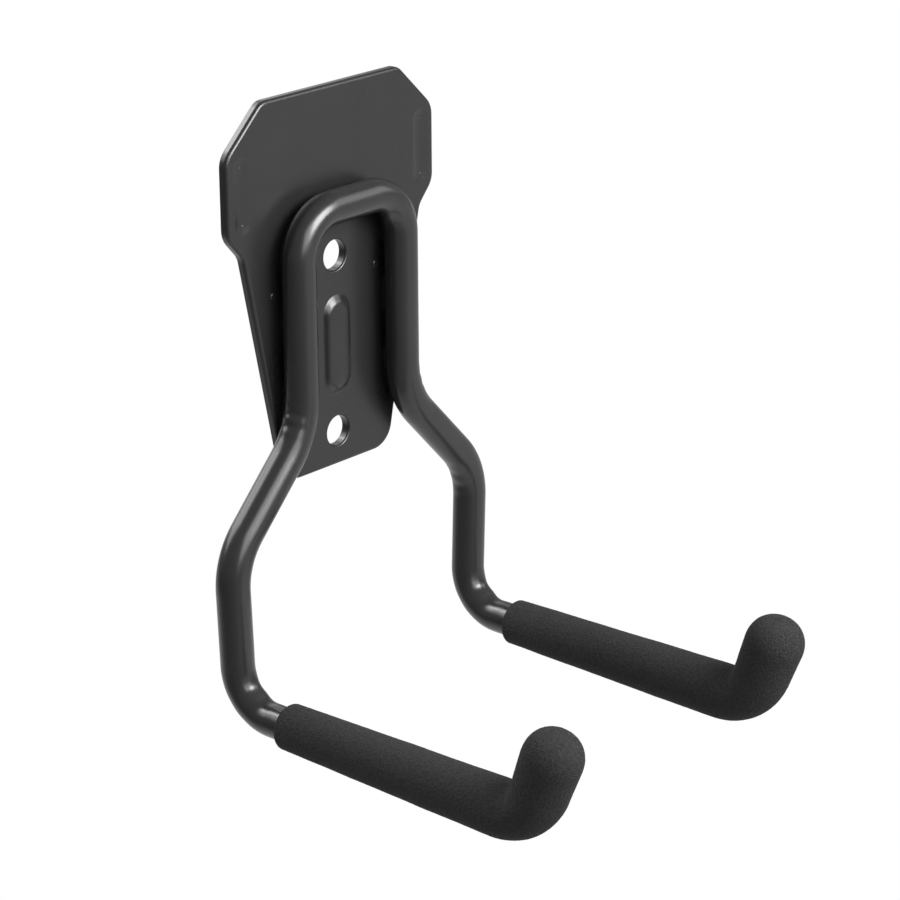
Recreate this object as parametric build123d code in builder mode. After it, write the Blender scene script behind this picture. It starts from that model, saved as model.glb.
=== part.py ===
from build123d import *
import os
from math import cos, radians, sin, sqrt, tan

# Garage utility hook: a stamped wall plate, a bent tube welded to its front and two foam grips.
# Millimetres. X runs to the right, Y into the wall and Z up. The origin lies on the wall,
# midway between the two screw holes, so the plate's back is the plane Y = 0.

# Plate outline, from the head's top edge down to the tongue's foot
plate_thickness = 2.0
plate_height = 80.0
top_edge_width = 39.75
head_width = 60.0
top_corner_drop = 9.65
head_side_length = 16.1
shoulder_drop = 4.55
shoulder_step = 4.075
tongue_foot_width = 31.0
top_corner_radius = 3.5
head_corner_radius = 4.8
shoulder_radius = 4.0
foot_corner_radius = 5.5
front_edge_round = 0.8
back_edge_round = 0.2

# Screw holes, one above the other. The rise is from the plate's foot to the lower one
screw_hole_diameter = 6.4
screw_spacing = 37.5
lower_screw_rise = 7.25
hole_rim_round = 0.45

# Long bead pressed out between the screw holes, with its hollow on the back. The runs say
# how far its flanks slope in
centre_bead_hole_gap = 5.1
centre_bead_width = 7.6
centre_bead_height = 0.8
centre_bead_side_run = 0.9
centre_bead_end_run = 1.6
centre_bead_hollow_inset = 0.9
centre_bead_foot_round = 0.9
centre_bead_crown_round = 1.1

# Shallow upright groove at each side of the head
groove_edge_gap = 4.1
groove_end_gap = 0.3
groove_width = 4.2
groove_depth = 0.3
groove_rim_round = 2.5

# Small round pips on the plate, a pair beside each upper leg. The drop is from the hoop's axis
pip_diameter = 1.7
pip_height = 0.35
pip_side_height = 0.05
pip_offset = 3.25
pip_drop = 16.2

# Bent tube. Its axis is measured from the upper screw to the hoop, from the plate's foot
# to the upper kink, and then from each corner to the next
tube_diameter = 7.0
tube_wall = 1.0
tube_standoff = 0.8
upper_leg_spacing = 29.85
arm_spacing = 69.8
leg_lean = 1.2
hoop_screw_gap = 11.85
upper_kink_rise = 12.55
lower_kink_drop = 22.05
arm_drop = 32.2
hoop_bend_radius = 9.35
upper_kink_radius = 18.2
lower_kink_radius = 15.75
arm_bend_radius = 9.4
arm_reach = 82.75
tip_bend_radius = 10.9
tip_angle = 69.7
tip_length = 14.55

# Foam grips, closed at the tip. The walls are the foam's thickness over the tube
grip_mouth_reach = 20.0
grip_mouth_wall = 1.2
grip_knuckle_wall = 2.2
grip_tip_wall = 2.5
grip_mouth_land = 0.2
grip_fit = 0.1
grip_end_cover = 4.5
grip_crease_round = 0.6

# Weld seams between the plate and the tube, two under each upper leg. The drop is from the hoop's axis
seam_width = 0.9
seam_length = 8.0
seam_spacing = 15.0
seam_drop = 23.6
seam_overlap = 0.4

# Places and sizes worked out from the ones above
screw_z = screw_spacing / 2
plate_foot_z = -screw_z - lower_screw_rise
plate_top_z = plate_foot_z + plate_height
head_corner_z = plate_top_z - top_corner_drop
shoulder_z = head_corner_z - head_side_length
tongue_root_z = shoulder_z - shoulder_drop
tongue_root_width = head_width - 2 * shoulder_step
centre_bead_length = screw_spacing - screw_hole_diameter - 2 * centre_bead_hole_gap
groove_x = head_width / 2 - groove_edge_gap
groove_z = (head_corner_z + shoulder_z) / 2
groove_run = head_side_length - 2 * groove_end_gap - groove_width
front_plane = Plane.XZ.offset(plate_thickness)
tube_radius = tube_diameter / 2
leg_y = -(plate_thickness + tube_standoff + tube_radius)
upper_leg_x = upper_leg_spacing / 2
hoop_z = screw_z + hoop_screw_gap
upper_kink_z = plate_foot_z + upper_kink_rise
lower_kink_z = upper_kink_z - lower_kink_drop
arm_x = arm_spacing / 2
arm_z = lower_kink_z - arm_drop
tip_corner = Vector(arm_x, -arm_reach, arm_z)
tip_rise = Vector(0, -cos(radians(tip_angle)), sin(radians(tip_angle)))
bore_radius = tube_radius + grip_fit
grip_mouth_radius = bore_radius + grip_mouth_wall
grip_knuckle_radius = bore_radius + grip_knuckle_wall
grip_tip_radius = bore_radius + grip_tip_wall
tube_tip_run = tip_length + grip_tip_radius - grip_end_cover


def mirrored(points):
    """The same points on the left, followed by the points themselves."""
    return [(-x, *rest) for x, *rest in reversed(points)] + points


# The tool that sinks a groove, with its flat side on the plane Y = 0: a bar with a low arched
# section, and the same arch turned about each of its ends
with BuildPart() as groove_tool:
    half_width = groove_width / 2
    with BuildSketch(Plane.XY.offset(-groove_run / 2)):
        with BuildLine():
            arch = ThreePointArc((-half_width, 0), (0, groove_depth), (half_width, 0))
            Line(arch @ 1, arch @ 0)
        make_face()
    extrude(amount=groove_run)
    for end in (-groove_run / 2, groove_run / 2):
        with BuildSketch(Plane.XY.offset(end)):
            with BuildLine():
                arch = ThreePointArc((-half_width, 0), (0, groove_depth), (half_width, 0))
                Line(arch @ 1, arch @ 0)
            make_face()
            split(bisect_by=Plane.YZ)
        revolve(axis=Axis((0, 0, end), (0, 1, 0)))

# Stamped plate
right_outline = [
    (top_edge_width / 2, plate_top_z),
    (head_width / 2, head_corner_z),
    (head_width / 2, shoulder_z),
    (tongue_root_width / 2, tongue_root_z),
    (tongue_foot_width / 2, plate_foot_z),
]
right_radii = [top_corner_radius, head_corner_radius, head_corner_radius, shoulder_radius, foot_corner_radius]

with BuildPart() as back_plate:
    with BuildSketch(Plane.XZ):
        with BuildLine():
            FilletPolyline(mirrored(right_outline), radius=right_radii[::-1] + right_radii, close=True)
        make_face()
    extrude(amount=plate_thickness)
    back_edges, *_, front_edges = back_plate.edges().filter_by(Plane.XZ).group_by(-Axis.Y)
    fillet(front_edges, front_edge_round)
    fillet(back_edges, back_edge_round)

    # The long bead: a slot that slopes in to its crown, blended into the sheet
    crown_length = centre_bead_length - 2 * centre_bead_end_run
    crown_width = centre_bead_width - 2 * centre_bead_side_run
    with BuildSketch(front_plane):
        SlotOverall(centre_bead_length, centre_bead_width, rotation=90)
    with BuildSketch(front_plane.offset(centre_bead_height)):
        SlotOverall(crown_length, crown_width, rotation=90)
    loft()
    fillet(back_plate.edges(Select.LAST).group_by(Axis.Y)[-1], centre_bead_foot_round)
    fillet(back_plate.faces().sort_by(Axis.Y)[0].edges(), centre_bead_crown_round)

    # The upright grooves, with softened rims
    for side in (-1, 1):
        with Locations((side * groove_x, -plate_thickness, groove_z)):
            add(groove_tool.part, mode=Mode.SUBTRACT)
        fillet(back_plate.edges(Select.LAST).group_by(Axis.Y)[0], groove_rim_round)

    # The hollow that the press left behind the long bead
    hollow_length = centre_bead_length - 2 * centre_bead_hollow_inset
    hollow_width = centre_bead_width - 2 * centre_bead_hollow_inset
    with BuildSketch(Plane.XZ):
        SlotOverall(hollow_length, hollow_width, rotation=90)
    with BuildSketch(Plane.XZ.offset(centre_bead_height)):
        hollow_floor_length = hollow_length - 2 * centre_bead_end_run
        SlotOverall(hollow_floor_length, hollow_width - 2 * centre_bead_side_run, rotation=90)
    loft(mode=Mode.SUBTRACT)

    # Screw holes with softened front rims
    with Locations(front_plane):
        with GridLocations(0, screw_spacing, 1, 2):
            Hole(screw_hole_diameter / 2)
    hole_rims = back_plate.edges(Select.LAST).filter_by(GeomType.CIRCLE).group_by(Axis.Y)[0]
    fillet(hole_rims, hole_rim_round)

    # Pips: small round studs with domed tops
    pip_x = [leg + side * pip_offset for leg in (-upper_leg_x, upper_leg_x) for side in (-1, 1)]
    with BuildSketch(front_plane):
        with Locations(*[(x, hoop_z - pip_drop) for x in pip_x]):
            Circle(pip_diameter / 2)
    extrude(amount=pip_height)
    fillet(back_plate.edges(Select.LAST).group_by(Axis.Y)[0], pip_height - pip_side_height)
back_plate.part.label = "back_plate"

# Bent tube: a hoop on the plate, two kinked legs, two arms and two upturned tips
right_route = [
    (upper_leg_x, leg_y, hoop_z),
    (upper_leg_x, leg_y, upper_kink_z),
    (arm_x + leg_lean, leg_y, lower_kink_z),
    (arm_x, leg_y, arm_z),
    tuple(tip_corner),
    tuple(tip_corner + tip_rise * tube_tip_run),
]
right_bends = [hoop_bend_radius, upper_kink_radius, lower_kink_radius, arm_bend_radius, tip_bend_radius]

with BuildPart() as hook_tube:
    with BuildLine() as tube_axis:
        FilletPolyline(mirrored(right_route), radius=right_bends[::-1] + right_bends)
    with BuildSketch(Plane(origin=tube_axis.line @ 0, z_dir=tube_axis.line % 0)):
        Circle(tube_radius)
        Circle(tube_radius - tube_wall, mode=Mode.SUBTRACT)
    sweep(path=tube_axis.line)
hook_tube.part.label = "hook_tube"

# Weld seams: low ridges on the plate, hollowed to fit the tube that lies on them
seam_height = tube_standoff + tube_radius - sqrt(tube_radius ** 2 - seam_width ** 2 / 4) + seam_overlap

with BuildPart() as weld_seams:
    with BuildSketch(front_plane):
        with Locations((0, hoop_z - seam_drop)):
            with GridLocations(upper_leg_spacing, seam_spacing, 2, 2):
                SlotOverall(seam_length, seam_width, rotation=90)
    extrude(amount=seam_height)
    add(hook_tube.part, mode=Mode.SUBTRACT)
weld_seams.part.label = "weld_seams"

# Foam grip over the right arm and tip: a slightly flaring sleeve that ends in a dome
bend_run = tip_bend_radius * tan(radians(tip_angle / 2))
bend_start = tip_corner + Vector(0, bend_run, 0)
bend_end = tip_corner + tip_rise * bend_run
bend_centre = bend_start + Vector(0, 0, tip_bend_radius)
mouth = Plane(origin=(arm_x, -grip_mouth_reach, arm_z), z_dir=(0, -1, 0))
dome_centre = tip_corner + tip_rise * tip_length

knuckle_start = Plane(origin=bend_start, z_dir=mouth.z_dir)
knuckle_end = Plane(origin=bend_end, z_dir=tip_rise)

# Two straight sleeves that run into each other. The bend keeps inside them, which leaves a
# crease on its inner side
with BuildPart() as sleeves:
    for start, way in ((knuckle_start, 1), (knuckle_end, -1)):
        with BuildSketch(start):
            Circle(grip_knuckle_radius)
        extrude(amount=way * 2 * bend_run)

with BuildPart() as knuckle:
    with BuildSketch(knuckle_start):
        Circle(grip_knuckle_radius)
    revolve(axis=Axis(bend_centre, (-1, 0, 0)), revolution_arc=tip_angle)
    add(sleeves.part, mode=Mode.INTERSECT)
    fillet(knuckle.edges().filter_by(GeomType.ELLIPSE), grip_crease_round)

with BuildPart() as grip_right:
    with BuildSketch(mouth):
        Circle(grip_mouth_radius)
    with BuildSketch(knuckle_start):
        Circle(grip_knuckle_radius)
    loft()
    add(knuckle.part)
    with BuildSketch(knuckle_end):
        Circle(grip_knuckle_radius)
    with BuildSketch(Plane(origin=dome_centre, z_dir=tip_rise)):
        Circle(grip_tip_radius)
    loft()
    with Locations(dome_centre):
        Sphere(grip_tip_radius)
    mouth_edge = grip_right.faces().sort_by(Axis.Y)[-1].edges()
    fillet(mouth_edge, grip_mouth_wall - grip_mouth_land)

    # The bore that the tube fills
    with BuildLine() as bore_axis:
        bore_end = tip_corner + tip_rise * (tube_tip_run + grip_fit)
        FilletPolyline(mouth.origin, tip_corner, bore_end, radius=tip_bend_radius)
    with BuildSketch(mouth):
        Circle(bore_radius)
    sweep(path=bore_axis.line, mode=Mode.SUBTRACT)
grip_right.part.label = "grip_right"

# The left grip is its mirror image
with BuildPart() as grip_left:
    mirror(grip_right.part, about=Plane.YZ)
grip_left.part.label = "grip_left"

# One file for each piece
os.makedirs("parts", exist_ok=True)
export_step(back_plate.part, "parts/back_plate.step")
export_step(hook_tube.part, "parts/hook_tube.step")
export_step(weld_seams.part, "parts/weld_seams.step")
export_step(grip_right.part, "parts/grip_right.step")
export_step(grip_left.part, "parts/grip_left.step")
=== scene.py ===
# %% [markdown]
# # Garage utility hook
# A steel wall plate with a bent tube welded to its front. The tube's two arms wear foam
# grips, so that what hangs there isn't scratched. The plate and the welds come from the
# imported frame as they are. The tube and the grips are made anew in the places of their
# solids, to show the bender's marks and the foam. All the steel wears satin black powder.

# %% Load the frame and keep its box
import bmesh
import bpy
from math import cos, pi, radians, sin, tan
from mathutils import Matrix, Vector


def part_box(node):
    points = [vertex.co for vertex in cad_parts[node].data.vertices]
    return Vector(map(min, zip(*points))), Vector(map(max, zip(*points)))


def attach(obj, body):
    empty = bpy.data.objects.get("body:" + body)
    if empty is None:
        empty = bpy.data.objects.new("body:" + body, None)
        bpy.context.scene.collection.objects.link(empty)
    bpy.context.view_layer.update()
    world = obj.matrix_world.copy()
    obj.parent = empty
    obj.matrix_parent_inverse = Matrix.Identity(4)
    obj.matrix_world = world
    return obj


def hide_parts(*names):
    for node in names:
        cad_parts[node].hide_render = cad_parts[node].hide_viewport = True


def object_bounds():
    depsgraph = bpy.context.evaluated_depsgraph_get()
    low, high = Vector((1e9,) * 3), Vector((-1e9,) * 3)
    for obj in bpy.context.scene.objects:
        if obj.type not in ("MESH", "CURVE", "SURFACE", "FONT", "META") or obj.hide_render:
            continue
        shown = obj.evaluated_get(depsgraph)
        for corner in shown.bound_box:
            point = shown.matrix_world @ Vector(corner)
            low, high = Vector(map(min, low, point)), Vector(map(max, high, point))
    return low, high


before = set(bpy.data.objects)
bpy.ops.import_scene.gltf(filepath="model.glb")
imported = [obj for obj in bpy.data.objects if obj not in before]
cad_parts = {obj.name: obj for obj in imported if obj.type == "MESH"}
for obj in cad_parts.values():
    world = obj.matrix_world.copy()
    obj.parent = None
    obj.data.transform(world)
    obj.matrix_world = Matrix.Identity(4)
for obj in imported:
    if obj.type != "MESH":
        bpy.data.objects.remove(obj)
cad_low, cad_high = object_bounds()
mm = 0.001
print("nodes:", sorted(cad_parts))

# %% [markdown]
# ## Camera
# The photograph was taken with a long lens, from the left, a little above the hook. The
# camera is placed by the point that it looks at, its distance and two angles, and then it is
# rolled a little, because the photograph leans a little too.

# %% Camera
view_azimuth = radians(-48.574)
view_elevation = radians(20.018)
view_roll = radians(-0.396)
view_distance = 627.8 * mm
view_target = Vector((2.8, -30.0, -17.18)) * mm
focal_length_in_pixels = 3132.6
frame_width_in_pixels = 900
nearest_seen = 50 * mm

back = Vector((
    sin(view_azimuth) * cos(view_elevation),
    -cos(view_azimuth) * cos(view_elevation),
    sin(view_elevation),
))
right = Vector((0, 0, 1)).cross(back).normalized()
up = back.cross(right)
tilted_right = right * cos(view_roll) + up * sin(view_roll)
tilted_up = up * cos(view_roll) - right * sin(view_roll)

camera = bpy.data.objects.new("camera", bpy.data.cameras.new("camera"))
bpy.context.collection.objects.link(camera)
camera.data.lens = camera.data.sensor_width * (focal_length_in_pixels / frame_width_in_pixels)
turn = Matrix((tilted_right, tilted_up, back)).transposed()
camera.matrix_world = Matrix.Translation(view_target + back * view_distance) @ turn.to_4x4()
camera.data.clip_start = nearest_seen
bpy.context.scene.camera = camera
print(f"lens {camera.data.lens:.1f} mm at {view_distance / mm:.0f} mm")

# %% [markdown]
# ## Light and floor
# A black hook shows its form by what it mirrors. Here that is a white table below, one soft
# box in front with its spill to the right, one behind the left shoulder and a weak fill
# behind the right one, in a dim room. Each lamp is placed by the direction that it shines
# from and the angle that it fills. The bright core of the front light stands close to the
# hoop, so that the hoop and the plate's corner mirror more of it than the legs do.
# What the hook mirrors of the table fades with the distance from it, and again towards its
# left, the dark side of the room. The camera sees the room and the table as plain white.

# %% Helpers for nodes
def step(tree, kind, inputs=None, **settings):
    """Add one node to a tree, set its options, and fill or wire its inputs."""
    node = tree.nodes.new(kind)
    for name, value in settings.items():
        setattr(node, name, value)
    for key, value in (inputs or {}).items():
        if isinstance(value, bpy.types.NodeSocket):
            tree.links.new(value, node.inputs[key])
        else:
            node.inputs[key].default_value = value
    return node


def maths(tree, operation, *values):
    """Add one Math node to a tree, and give back its result."""
    return step(tree, "ShaderNodeMath", dict(enumerate(values)), operation=operation).outputs[0]


def vector_maths(tree, operation, *values):
    """The same with a Vector Math node. A length and a dot product come back as a number."""
    made = step(tree, "ShaderNodeVectorMath", dict(enumerate(values)), operation=operation)
    return made.outputs["Value" if operation in ("LENGTH", "DOT_PRODUCT") else "Vector"]


def clear_tree(owner):
    """Give a material or a world an empty node tree."""
    owner.use_nodes = True
    owner.node_tree.nodes.clear()
    return owner.node_tree


def by_ray(tree, kind, shown, otherwise):
    """Show one shader to the rays of one kind, and another to the rest."""
    rays = step(tree, "ShaderNodeLightPath")
    return step(tree, "ShaderNodeMixShader", {
        0: rays.outputs[kind], 1: otherwise.outputs[0], 2: shown.outputs[0]})

# %% World
bpy.context.scene.view_settings.view_transform = "Standard"
white = (1, 1, 1, 1)
room_light = 0.3
world = bpy.data.worlds.new("studio")
bpy.context.scene.world = world
tree = clear_tree(world)
dim = step(tree, "ShaderNodeBackground", {"Color": white, "Strength": room_light})
plain = step(tree, "ShaderNodeBackground", {"Color": white, "Strength": 1.0})
seen = by_ray(tree, "Is Camera Ray", shown=plain, otherwise=dim)
step(tree, "ShaderNodeOutputWorld", {"Surface": seen.outputs[0]})
print("light of the room:", room_light)

# %% Lamps
hook_centre = (cad_low + cad_high) / 2
lamp_distance = 1.5
hoop_corner = Vector((-11.4, -9.3, 30.8)) * mm
core_distance = 0.35


def soft_box(name, azimuth, elevation, width_angle, height_angle, radiance,
             target=hook_centre, distance=lamp_distance):
    """A soft box that faces its target: azimuth 0 is in front of it, and 90 to its right."""
    lamp = bpy.data.lights.new(name, "AREA")
    lamp.shape = "RECTANGLE"
    lamp.size = 2 * distance * tan(radians(width_angle / 2))
    lamp.size_y = 2 * distance * tan(radians(height_angle / 2))
    lamp.energy = radiance * pi * lamp.size * lamp.size_y
    turn, tilt = radians(azimuth), radians(elevation)
    way = Vector((sin(turn) * cos(tilt), -cos(turn) * cos(tilt), sin(tilt)))
    holder = bpy.data.objects.new(name, lamp)
    bpy.context.collection.objects.link(holder)
    holder.location = target + way * distance
    holder.rotation_euler = way.to_track_quat("Z", "Y").to_euler()
    print(f"{name}: {lamp.size:.2f} x {lamp.size_y:.2f} m, {lamp.energy:.0f} W")


soft_box("front_box", azimuth=-5, elevation=24, width_angle=54, height_angle=40, radiance=4.6)
soft_box("front_core", azimuth=15, elevation=26, width_angle=36, height_angle=28, radiance=17.0,
         target=hoop_corner, distance=core_distance)
soft_box("front_spill", azimuth=55, elevation=30, width_angle=30, height_angle=26, radiance=2.4)
soft_box("back_box", azimuth=195, elevation=36, width_angle=52, height_angle=44, radiance=4.0)
soft_box("back_core", azimuth=201, elevation=46, width_angle=18, height_angle=12, radiance=9.0)
soft_box("back_fill", azimuth=155, elevation=20, width_angle=40, height_angle=50, radiance=1.0)

# %% Floor
floor_drop = 0.6
floor_width = 12.0
floor_mesh = bpy.data.meshes.new("floor")
shape = bmesh.new()
bmesh.ops.create_grid(shape, x_segments=1, y_segments=1, size=floor_width / 2)
bmesh.ops.translate(shape, vec=(0, 0, -floor_drop), verts=shape.verts)
shape.to_mesh(floor_mesh)
shape.free()
floor = bpy.data.objects.new("floor", floor_mesh)
bpy.context.collection.objects.link(floor)
print(f"floor {floor_width:.0f} m wide, {floor_drop} m below the screw holes")

# %% Floor paper
paper_grey = (0.5, 0.5, 0.5, 1)
dark_direction = (-0.985, -0.174, 0)
dark_start, dark_end, dark_share = 0.1, 0.9, 0.3
far_start, far_end, far_share = 0.6, 2.2, 0.62
paper = bpy.data.materials.new("floor_paper")
tree = clear_tree(paper)


def fading(value, start, end, share):
    """A strength that falls softly from 1 to a share of it, between two values."""
    return step(tree, "ShaderNodeMapRange", {
        "Value": value, "From Min": start, "From Max": end, "To Min": 1.0, "To Max": share,
    }, interpolation_type="SMOOTHSTEP").outputs[0]


place = step(tree, "ShaderNodeTexCoord").outputs["Object"]
sideways = vector_maths(tree, "DOT_PRODUCT", place, dark_direction)
distance = vector_maths(tree, "LENGTH", place)
strength = maths(tree, "MULTIPLY", fading(sideways, dark_start, dark_end, dark_share),
                 fading(distance, far_start, far_end, far_share))
matte = step(tree, "ShaderNodeBsdfDiffuse", {"Color": paper_grey})
mirrored = step(tree, "ShaderNodeEmission", {"Color": white, "Strength": strength})
plain = step(tree, "ShaderNodeEmission", {"Color": white, "Strength": 1.0})
glossy = by_ray(tree, "Is Glossy Ray", shown=mirrored, otherwise=matte)
seen = by_ray(tree, "Is Camera Ray", shown=plain, otherwise=glossy)
step(tree, "ShaderNodeOutputMaterial", {"Surface": seen.outputs[0]})
floor_mesh.materials.append(paper)
print(f"mirrored table fades to {far_share} between {far_start} and {far_end} m away")

# %% [markdown]
# ## Powder coat
# Powder coat is plastic dust, sprayed on and baked until it flows. It leaves a satin skin
# with a faint orange peel and a finer grain. Plate, tube and welds share the effect, each
# with its own strength, so it is a node group that every coat uses.

# %% Helpers for node groups
mean_noise = 0.5


def new_group(name, family, inputs, outputs):
    """Start a node group with named sockets, and give back its tree and its inputs."""
    tree = bpy.data.node_groups.new(name, family + "NodeTree")
    for label, kind, *value in inputs:
        socket = tree.interface.new_socket(label, in_out="INPUT", socket_type="NodeSocket" + kind)
        if value:
            socket.default_value = value[0]
    for label, kind in outputs:
        tree.interface.new_socket(label, in_out="OUTPUT", socket_type="NodeSocket" + kind)
    return tree, step(tree, "NodeGroupInput").outputs


def scaled(tree, vector, factor):
    """Make a vector longer or shorter by a factor."""
    made = step(tree, "ShaderNodeVectorMath", {0: vector, "Scale": factor}, operation="SCALE")
    return made.outputs[0]


def place_in_mm(tree):
    """Where a point of the surface lies, in millimetres."""
    return scaled(tree, step(tree, "ShaderNodeTexCoord").outputs["Object"], 1 / mm)


def noise(tree, place, scale, detail, roughness=0.5):
    """Noise around a half. The detail says how many finer layers lie on it."""
    return step(tree, "ShaderNodeTexNoise", {
        "Vector": place, "Scale": scale, "Detail": detail, "Roughness": roughness}).outputs["Fac"]


def per(tree, size):
    """Turn a feature's size into a noise scale."""
    return maths(tree, "DIVIDE", 1.0, size)

# %% Powder coat group
clouds_per_mm = 0.09
shade_spread = 0.25
powder, given = new_group("powder_coat", "Shader", [
    ("Peel size", "Float", 1.4), ("Peel height", "Float", 0.5),
    ("Grain size", "Float", 0.12), ("Grain height", "Float", 0.5),
    ("Gloss spread", "Float", 0.06),
], [("Height", "Float"), ("Roughness", "Float"), ("Shade", "Float")])
in_mm = place_in_mm(powder)
peel = noise(powder, in_mm, per(powder, given["Peel size"]), detail=1.0)
grain = noise(powder, in_mm, per(powder, given["Grain size"]), detail=2.0)
peel_height = maths(powder, "MULTIPLY", peel, given["Peel height"])
height = maths(powder, "MULTIPLY_ADD", grain, given["Grain height"], peel_height)
cloud = noise(powder, in_mm, clouds_per_mm, detail=3.0)
uneven = maths(powder, "SUBTRACT", cloud, mean_noise)
gloss = maths(powder, "MULTIPLY", uneven, given["Gloss spread"])
shade = maths(powder, "MULTIPLY_ADD", uneven, shade_spread, 1.0)
step(powder, "NodeGroupOutput", {"Height": height, "Roughness": gloss, "Shade": shade})
print("steps in the powder coat:", len(powder.nodes))

# %% [markdown]
# ## Crown of the bead
# The press leaves the long bead's crown a little domed, where the solid's crown is flat. The
# dome is so low that it only turns the light, so it is worked out from the distance to the
# bead's middle line, and the plate's coat takes it as part of its height.

# %% Crown group
def squared(tree, value):
    """A value times itself."""
    return maths(tree, "POWER", value, 2.0)


crown, given = new_group("pressed_crown", "Shader", [
    ("Half line", "Float", 6.65), ("Half width", "Float", 3.8),
    ("Rise", "Float", 0.35), ("Front", "Float", -1.5),
], [("Height", "Float")])
part = step(crown, "ShaderNodeSeparateXYZ", {0: place_in_mm(crown)}).outputs
off_line = maths(crown, "ABSOLUTE", part["X"])
from_middle = maths(crown, "ABSOLUTE", part["Z"])
past_end = maths(crown, "MAXIMUM", maths(crown, "SUBTRACT", from_middle, given["Half line"]), 0.0)
gap_squared = maths(crown, "ADD", squared(crown, off_line), squared(crown, past_end))
share = maths(crown, "DIVIDE", gap_squared, squared(crown, given["Half width"]))
dome = maths(crown, "MAXIMUM", maths(crown, "SUBTRACT", 1.0, share), 0.0)
rise = maths(crown, "MULTIPLY", dome, given["Rise"])
on_front = maths(crown, "LESS_THAN", part["Y"], given["Front"])
step(crown, "NodeGroupOutput", {0: maths(crown, "MULTIPLY", rise, on_front)})
print("steps in the crown:", len(crown.nodes))

# %% Coated steel
# The Mix node has one set of sockets for each kind of value, so colours are wired by place.
# The powder's heights are counted in hundredths of a millimetre, and Bump is told so.
COLOUR_A, COLOUR_B, COLOUR_RESULT = 6, 7, 2
bump_unit = 0.01


def shaded(tree, colour, shade):
    """A colour, made darker or lighter by a shade around 1."""
    return step(tree, "ShaderNodeMix", {0: 1.0, COLOUR_A: (*colour, 1), COLOUR_B: shade},
                data_type="RGBA", blend_type="MULTIPLY").outputs[COLOUR_RESULT]


def coated_steel(name, colour, roughness, peel_size, peel_height, grain_height, pressed=None):
    """Satin powder coat: one group for the effect, and one Principled shader for the skin."""
    material = bpy.data.materials.new(name)
    tree = clear_tree(material)
    coat = step(tree, "ShaderNodeGroup", {
        "Peel size": peel_size, "Peel height": peel_height, "Grain height": grain_height,
    }, node_tree=powder).outputs
    height = coat["Height"]
    if pressed:
        rise = step(tree, "ShaderNodeGroup", node_tree=pressed).outputs["Height"]
        height = maths(tree, "MULTIPLY_ADD", rise, 1 / bump_unit, height)
    bump = step(tree, "ShaderNodeBump", {
        "Height": height, "Distance": bump_unit * mm, "Strength": 1.0})
    skin = step(tree, "ShaderNodeBsdfPrincipled", {
        "Base Color": shaded(tree, colour, coat["Shade"]),
        "Roughness": maths(tree, "ADD", coat["Roughness"], roughness),
        "Normal": bump.outputs[0]})
    step(tree, "ShaderNodeOutputMaterial", {"Surface": skin.outputs[0]})
    return material


coat_black = (0.015, 0.015, 0.0155)
# The plate's black is darker than the tube's: painted shade, which dims the plate's whole face.
plate_black_painted_shade = (0.0115, 0.0115, 0.012)
coated_plate = coated_steel("coated_plate", plate_black_painted_shade, roughness=0.28,
                            peel_size=1.4, peel_height=0.15, grain_height=0.1, pressed=crown)
coated_tube = coated_steel("coated_tube", coat_black, roughness=0.25,
                           peel_size=1.2, peel_height=0.15, grain_height=0.1)
coated_weld = coated_steel("coated_weld", coat_black, roughness=0.40,
                           peel_size=0.8, peel_height=0.8, grain_height=0.4)


def repaint(node_name, material):
    """Put a material in every slot of a CAD node."""
    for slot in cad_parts[node_name].material_slots:
        slot.material = material
    print("coated", node_name)


repaint("back_plate", coated_plate)
repaint("weld_seams", coated_weld)

# %% [markdown]
# ## Bent tube
# The tube is one long piece of round tube, bent ten times on a former. A bender works from a
# list of corners and bend radii, and so does this tree: the route holds the corners, each
# with its bend radius, and the tree rounds them off and sweeps a circle along the route.

# %% Tube sizes, the outer ones from the frame
tube_low, tube_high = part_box("hook_tube")
grip_low, grip_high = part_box("grip_right")
plate_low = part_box("back_plate")[0]
tube_radius = 3.5 * mm
hoop_bend = 9.35 * mm
upper_bend = 18.2 * mm
lower_bend = 15.75 * mm
arm_bend = 9.4 * mm
tip_bend = 10.9 * mm
upper_kink_rise = 12.55 * mm
lower_kink_rise = 32.2 * mm
leg_x = 14.925 * mm
leg_lean = 1.2 * mm
arm_reach = 82.75 * mm
tip_angle = radians(69.7)
tip_run = 16.15 * mm
print(f"tube {2 * tube_radius / mm:.1f} mm thick")

# %% Tube route
hoop_z = tube_high.z - tube_radius
leg_y = tube_high.y - tube_radius
arm_z = tube_low.z + tube_radius
arm_x = (grip_low.x + grip_high.x) / 2
upper_kink_z = plate_low.z + upper_kink_rise
lower_kink_z = arm_z + lower_kink_rise
tip_way = Vector((0, -cos(tip_angle), sin(tip_angle)))
tip_corner = Vector((arm_x, -arm_reach, arm_z))

right_route = [
    (Vector((leg_x, leg_y, hoop_z)), hoop_bend),
    (Vector((leg_x, leg_y, upper_kink_z)), upper_bend),
    (Vector((arm_x + leg_lean, leg_y, lower_kink_z)), lower_bend),
    (Vector((arm_x, leg_y, arm_z)), arm_bend),
    (tip_corner, tip_bend),
    (tip_corner + tip_way * tip_run, 0.0),
]
flip = Vector((-1, 1, 1))
left_route = [(point * flip, bend) for point, bend in reversed(right_route)]
route = left_route + right_route
print("tube corners:", len(route))

# %% Route curve
def route_object(name, corners):
    """A curve with straight runs, whose points carry the bend radii as their own radius."""
    curve = bpy.data.curves.new(name, "CURVE")
    curve.dimensions = "3D"
    line = curve.splines.new("POLY")
    line.points.add(len(corners) - 1)
    for point, (place, bend) in zip(line.points, corners):
        point.co = (*place, 1)
        point.radius = bend
    made = bpy.data.objects.new(name, curve)
    bpy.context.collection.objects.link(made)
    return made


tube_route = route_object("tube_route", route)
print("points on the route:", len(tube_route.data.splines[0].points))

# %% Tube tree
# The route's radii are bend radii, so they go back to 1 before the circle is swept
points_per_bend = 40


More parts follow.
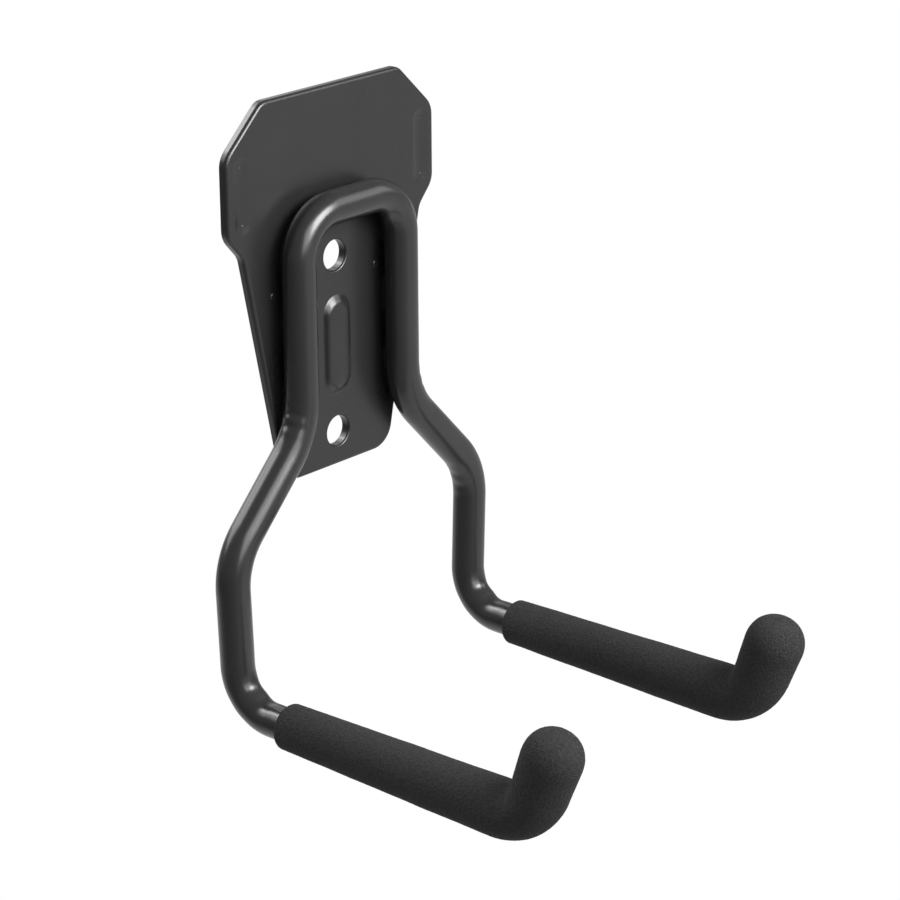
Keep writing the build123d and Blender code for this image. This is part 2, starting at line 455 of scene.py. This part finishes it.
def finish_tree(tree, shape, material):
    """End a tree with smooth shading, real geometry and its material."""
    smooth = step(tree, "GeometryNodeSetShadeSmooth", {0: shape})
    real = step(tree, "GeometryNodeRealizeInstances", {0: smooth.outputs[0]})
    dressed = step(tree, "GeometryNodeSetMaterial", {0: real.outputs[0], "Material": material})
    step(tree, "NodeGroupOutput", {0: dressed.outputs[0]})


sweep_tree, given = new_group("sweep_tube", "Geometry", [
    ("Route", "Geometry"), ("Radius", "Float"), ("Ring spacing", "Float"),
    ("Sides", "Int"), ("Material", "Material"),
], [("Tube", "Geometry")])
bend = step(sweep_tree, "GeometryNodeInputRadius")
rounded = step(sweep_tree, "GeometryNodeFilletCurve", {
    "Curve": given["Route"], "Count": points_per_bend, "Radius": bend.outputs[0]}, mode="POLY")
even = step(sweep_tree, "GeometryNodeResampleCurve", {
    "Curve": rounded.outputs[0], "Length": given["Ring spacing"]}, mode="LENGTH")
circle = step(sweep_tree, "GeometryNodeCurvePrimitiveCircle", {
    "Resolution": given["Sides"], "Radius": given["Radius"]})
unscaled = step(sweep_tree, "GeometryNodeSetCurveRadius", {
    "Curve": even.outputs[0], "Radius": 1.0})
skin = step(sweep_tree, "GeometryNodeCurveToMesh", {
    "Curve": unscaled.outputs[0], "Profile Curve": circle.outputs[0], "Fill Caps": True})
finish_tree(sweep_tree, skin.outputs[0], given["Material"])
print("steps in the tube tree:", len(sweep_tree.nodes))

# %% Sweep the tube
def grown(source, tree, values, name):
    """Run a tree on an object, keep the result as a plain mesh and drop the source."""
    modifier = source.modifiers.new("grow", "NODES")
    modifier.node_group = tree
    identifiers = {socket.name: socket.identifier for socket in tree.interface.items_tree
                   if socket.in_out == "INPUT"}
    for label, value in values.items():
        modifier[identifiers[label]] = value
    ready = source.evaluated_get(bpy.context.evaluated_depsgraph_get())
    mesh = bpy.data.meshes.new_from_object(ready)
    bpy.data.objects.remove(source)
    mesh.name = name
    made = bpy.data.objects.new(name, mesh)
    bpy.context.collection.objects.link(made)
    print(f"{name}: {len(mesh.polygons)} faces")
    return made


tube_ring_gap = 0.4 * mm
tube_sides = 72
bar = grown(tube_route, sweep_tree, {
    "Radius": tube_radius, "Ring spacing": tube_ring_gap, "Sides": tube_sides,
    "Material": coated_tube,
}, "plain_bar")

# %% [markdown]
# ## Marks of the bender
# Thin tube doesn't bend cleanly. Its inner side buckles a little against the former, which
# leaves a soft ripple across the bends of the legs. One group works out the height of such a
# ripple at any point, and a tree pushes the tube's skin along its normal by the sum of all.

# %% Ripple group
ripple_group, given = new_group("bend_ripple", "Geometry", [
    ("Centre", "Vector"), ("Along", "Vector"), ("Height", "Float"),
    ("Pitch", "Float"), ("Width", "Float"),
], [("Lift", "Float")])
place = step(ripple_group, "GeometryNodeInputPosition").outputs[0]
offset = vector_maths(ripple_group, "SUBTRACT", place, given["Centre"])
along = vector_maths(ripple_group, "DOT_PRODUCT", offset, given["Along"])
distance = vector_maths(ripple_group, "LENGTH", offset)
phase = maths(ripple_group, "DIVIDE", along, given["Pitch"])
across_squared = maths(ripple_group, "SUBTRACT",
                       squared(ripple_group, distance), squared(ripple_group, along))
spread_squared = maths(ripple_group, "DIVIDE",
                       across_squared, squared(ripple_group, given["Width"]))
away_squared = maths(ripple_group, "ADD", squared(ripple_group, phase), spread_squared)
fade = maths(ripple_group, "EXPONENT", maths(ripple_group, "MULTIPLY", away_squared, -1.0))
wave = maths(ripple_group, "COSINE", maths(ripple_group, "MULTIPLY", phase, 2 * pi))
lift = maths(ripple_group, "MULTIPLY",
             maths(ripple_group, "MULTIPLY", wave, fade), given["Height"])
step(ripple_group, "NodeGroupOutput", {0: lift})
print("steps in a ripple:", len(ripple_group.nodes))

# %% Where the ripples lie
# The bends are counted along the right route, on which the hoop's is 0
UPPER_KINK, LOWER_KINK, ARM_BEND = 1, 2, 3


def inner_mark(corner, side, slide, height, pitch, width):
    """A ripple on the inner side of one bend, slid along the tube from the bend's middle."""
    before, here, after = (right_route[corner + k][0] for k in (-1, 0, 1))
    way_in, way_out = (here - before).normalized(), (after - here).normalized()
    inward = (way_out - way_in).normalized()
    along = (way_out + way_in).normalized()
    bend = right_route[corner][1]
    half_turn = way_in.angle(way_out) / 2
    middle = here + inward * bend * (1 / cos(half_turn) - 1)
    mirror = Vector((side, 1, 1))
    centre = (middle + inward * tube_radius + along * slide) * mirror
    return {"Centre": centre, "Along": along * mirror, "Height": height, "Pitch": pitch, "Width": width}


marks = []
for side in (-1, 1):
    marks += [
        inner_mark(UPPER_KINK, side, slide=-1.5 * mm, height=0.14 * mm, pitch=2.8 * mm, width=2.4 * mm),
        inner_mark(LOWER_KINK, side, slide=0.4 * mm, height=0.09 * mm, pitch=3.2 * mm, width=1.8 * mm),
        inner_mark(ARM_BEND, side, slide=0.9 * mm, height=0.13 * mm, pitch=4.6 * mm, width=4.5 * mm),
    ]
print("ripples:", len(marks))

# %% Press the ripples into the tube
mark_tree, given = new_group("press_marks", "Geometry", [
    ("Tube", "Geometry"), ("Strength", "Float"), ("Material", "Material"),
], [("Tube", "Geometry")])
total = 0.0
for mark in marks:
    ripple = step(mark_tree, "GeometryNodeGroup", mark, node_tree=ripple_group)
    total = maths(mark_tree, "ADD", total, ripple.outputs[0])
lift = maths(mark_tree, "MULTIPLY", total, given["Strength"])
outward = step(mark_tree, "GeometryNodeInputNormal").outputs[0]
moved = step(mark_tree, "GeometryNodeSetPosition", {
    "Geometry": given["Tube"], "Offset": scaled(mark_tree, outward, lift)})
finish_tree(mark_tree, moved.outputs[0], given["Material"])

tube = grown(bar, mark_tree, {"Strength": 1.0, "Material": coated_tube}, "bent_tube")
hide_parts("hook_tube")
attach(tube, "root")

# %% [markdown]
# ## Foam grips
# The grips are sleeves of closed-cell foam with a moulded round end. Each is turned from one
# profile: a rounded mouth with the bore inside it, a wall that thickens to the tip, and a
# dome. The profile follows the arm round its bend, where the foam folds into a crease.

# %% Grip sizes
bore_clearance = 0.1 * mm
mouth_wall = 1.2 * mm
knuckle_step = 0.3 * mm
bore_radius = tube_radius + bore_clearance
mouth_radius = bore_radius + mouth_wall
dome_radius = (grip_high.x - grip_low.x) / 2
knuckle_radius = dome_radius - knuckle_step
mouth_reach = -grip_high.y
tip_length = 14.55 * mm
bore_depth = 6.0 * mm
lip_radius = 0.55 * mm
dome_power = 2.25
crease_share = 0.9
crease_spread = 0.12
grip_ring_gap = 0.32 * mm
grip_sides = 136
lip_steps = 10
dome_steps = 24

bend_run = tip_bend * tan(tip_angle / 2)
arm_run = arm_reach - bend_run - mouth_reach
arc_run = tip_bend * tip_angle
straight_run = arm_run + arc_run + tip_length - bend_run
print(f"grip runs {straight_run / mm:.1f} mm to the dome")

# %% Grip profile
def spread(start, end, gap):
    """Even steps from start up to, but not including, end."""
    count = max(1, round(abs(end - start) / gap))
    return [start + (end - start) * k / count for k in range(count)]


def wall_radius(run):
    """The grip's outer radius at a run along the arm, measured from the mouth."""
    if run < arm_run:
        return mouth_radius + (knuckle_radius - mouth_radius) * run / arm_run
    if run < arm_run + arc_run:
        return knuckle_radius
    rest = (run - arm_run - arc_run) / (straight_run - arm_run - arc_run)
    return knuckle_radius + (dome_radius - knuckle_radius) * rest


profile = [(run, bore_radius) for run in spread(bore_depth, lip_radius, grip_ring_gap)]
half_wall = (mouth_radius - bore_radius) / 2
for k in range(lip_steps):
    turn = pi * k / lip_steps
    profile.append((lip_radius * (1 - sin(turn)), bore_radius + half_wall * (1 - cos(turn))))
profile += [(run, wall_radius(run)) for run in spread(lip_radius, straight_run, grip_ring_gap)]
for k in range(dome_steps):
    turn = pi / 2 * k / dome_steps
    profile.append((straight_run + dome_radius * sin(turn) ** (2 / dome_power),
                    dome_radius * cos(turn) ** (2 / dome_power)))
print("rings in a grip:", len(profile))

# %% A point on the grip
def skin_point(run, radius, turn):
    """A point on the right grip: turn 0 faces the inside of the bend."""
    inward, side = radius * cos(turn), radius * sin(turn)
    if run <= arm_run:
        return Vector((arm_x + side, -mouth_reach - run, arm_z + inward))
    if run < arm_run + arc_run:
        angle = (run - arm_run) / tip_bend
        from_end = min(angle, tip_angle - angle) / tip_angle * 2
        depth = 1 - (1 - from_end) ** 2 / (crease_spread + 1 - from_end) * (1 + crease_spread)
        fold = 1 + crease_share * (1 / cos(tip_angle / 2) - 1) * max(0.0, cos(turn)) * depth ** 2
        reach = (tip_bend - inward) * fold
        return Vector((arm_x + side, -mouth_reach - arm_run - reach * sin(angle),
                       arm_z + tip_bend - reach * cos(angle)))
    along = run - arm_run - arc_run + bend_run
    across = Vector((0, sin(tip_angle), cos(tip_angle)))
    return tip_corner + tip_way * along + across * inward + Vector((side, 0, 0))

# %% Grip mesh
def grip_mesh(name, mirror):
    """Rings of quads along the profile, closed by a fan at the dome's pole and in the bore."""
    shape = bmesh.new()

    def corner(run, radius, turn):
        """Add one corner of the mesh."""
        point = skin_point(run, radius, turn)
        return shape.verts.new((mirror * point.x, point.y, point.z))

    rings = [[corner(run, radius, 2 * pi * j / grip_sides) for j in range(grip_sides)]
             for run, radius in profile]
    for near, far in zip(rings, rings[1:]):
        for j in range(grip_sides):
            shape.faces.new((near[j], near[j - 1], far[j - 1], far[j]))
    pole = corner(straight_run + dome_radius, 0.0, 0.0)
    for j in range(grip_sides):
        shape.faces.new((rings[-1][j], rings[-1][j - 1], pole))
    cap = corner(bore_depth, 0.0, 0.0)
    for j in range(grip_sides):
        shape.faces.new((rings[0][j - 1], rings[0][j], cap))
    bmesh.ops.recalc_face_normals(shape, faces=shape.faces)
    mesh = bpy.data.meshes.new(name)
    shape.to_mesh(mesh)
    shape.free()
    made = bpy.data.objects.new(name, mesh)
    bpy.context.collection.objects.link(made)
    return made

# %% [markdown]
# ## Foam skin
# Foam is matt, and its skin is pricked all over by open cells. The cells could be shape, but
# they are so small that bump and a change of shade stand for them. The skin's unevenness and
# its grain are real shape, because they show at the outline, and a tree makes both.

# %% Foam material
foam_black = (0.016, 0.016, 0.0165)
foam_roughness = 0.85
foam_specular = 0.22
cells_per_mm = 2.1
cell_roughness = 0.6
cell_height = 0.34 * mm
noise_low, noise_high = 0.3, 0.7
shade_low, shade_high = 0.65, 1.35
foam = bpy.data.materials.new("foam")
tree = clear_tree(foam)
cells = noise(tree, place_in_mm(tree), cells_per_mm, detail=2.0, roughness=cell_roughness)
shade = step(tree, "ShaderNodeMapRange", {
    "Value": cells, "From Min": noise_low, "From Max": noise_high,
    "To Min": shade_low, "To Max": shade_high})
bump = step(tree, "ShaderNodeBump", {"Height": cells, "Distance": cell_height, "Strength": 1.0})
skin = step(tree, "ShaderNodeBsdfPrincipled", {
    "Base Color": shaded(tree, foam_black, shade.outputs[0]), "Roughness": foam_roughness,
    "Specular IOR Level": foam_specular, "Normal": bump.outputs[0]})
step(tree, "ShaderNodeOutputMaterial", {"Surface": skin.outputs[0]})
print(f"cells about {1 / cells_per_mm:.1f} mm wide")

# %% Foam tree: a soft unevenness and a fine grain, both pushed along the normal
foam_tree, given = new_group("foam_skin", "Geometry", [
    ("Sleeve", "Geometry"), ("Swell size", "Float"), ("Swell", "Float"),
    ("Grain size", "Float"), ("Grain", "Float"), ("Material", "Material"),
], [("Foam", "Geometry")])
place = step(foam_tree, "GeometryNodeInputPosition").outputs[0]
outward = step(foam_tree, "GeometryNodeInputNormal").outputs[0]


def unevenness(size, height):
    """Noise of a given size, as a signed height."""
    bumps = noise(foam_tree, place, per(foam_tree, size), detail=1.0)
    return maths(foam_tree, "MULTIPLY", maths(foam_tree, "SUBTRACT", bumps, mean_noise), height)


swell = unevenness(given["Swell size"], given["Swell"])
grain = unevenness(given["Grain size"], given["Grain"])
lift = maths(foam_tree, "ADD", swell, grain)
moved = step(foam_tree, "GeometryNodeSetPosition", {
    "Geometry": given["Sleeve"], "Offset": scaled(foam_tree, outward, lift)})
finish_tree(foam_tree, moved.outputs[0], given["Material"])
print("steps in the foam tree:", len(foam_tree.nodes))

# %% Grow both grips
foam_sizes = {"Swell size": 9 * mm, "Swell": 0.2 * mm, "Grain size": 0.6 * mm, "Grain": 0.09 * mm}
for side, mirror in (("left", -1), ("right", 1)):
    sleeve = grip_mesh("sleeve_" + side, mirror)
    grip = grown(sleeve, foam_tree, {**foam_sizes, "Material": foam}, "foam_grip_" + side)
    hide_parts("grip_" + side)
    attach(grip, "root")
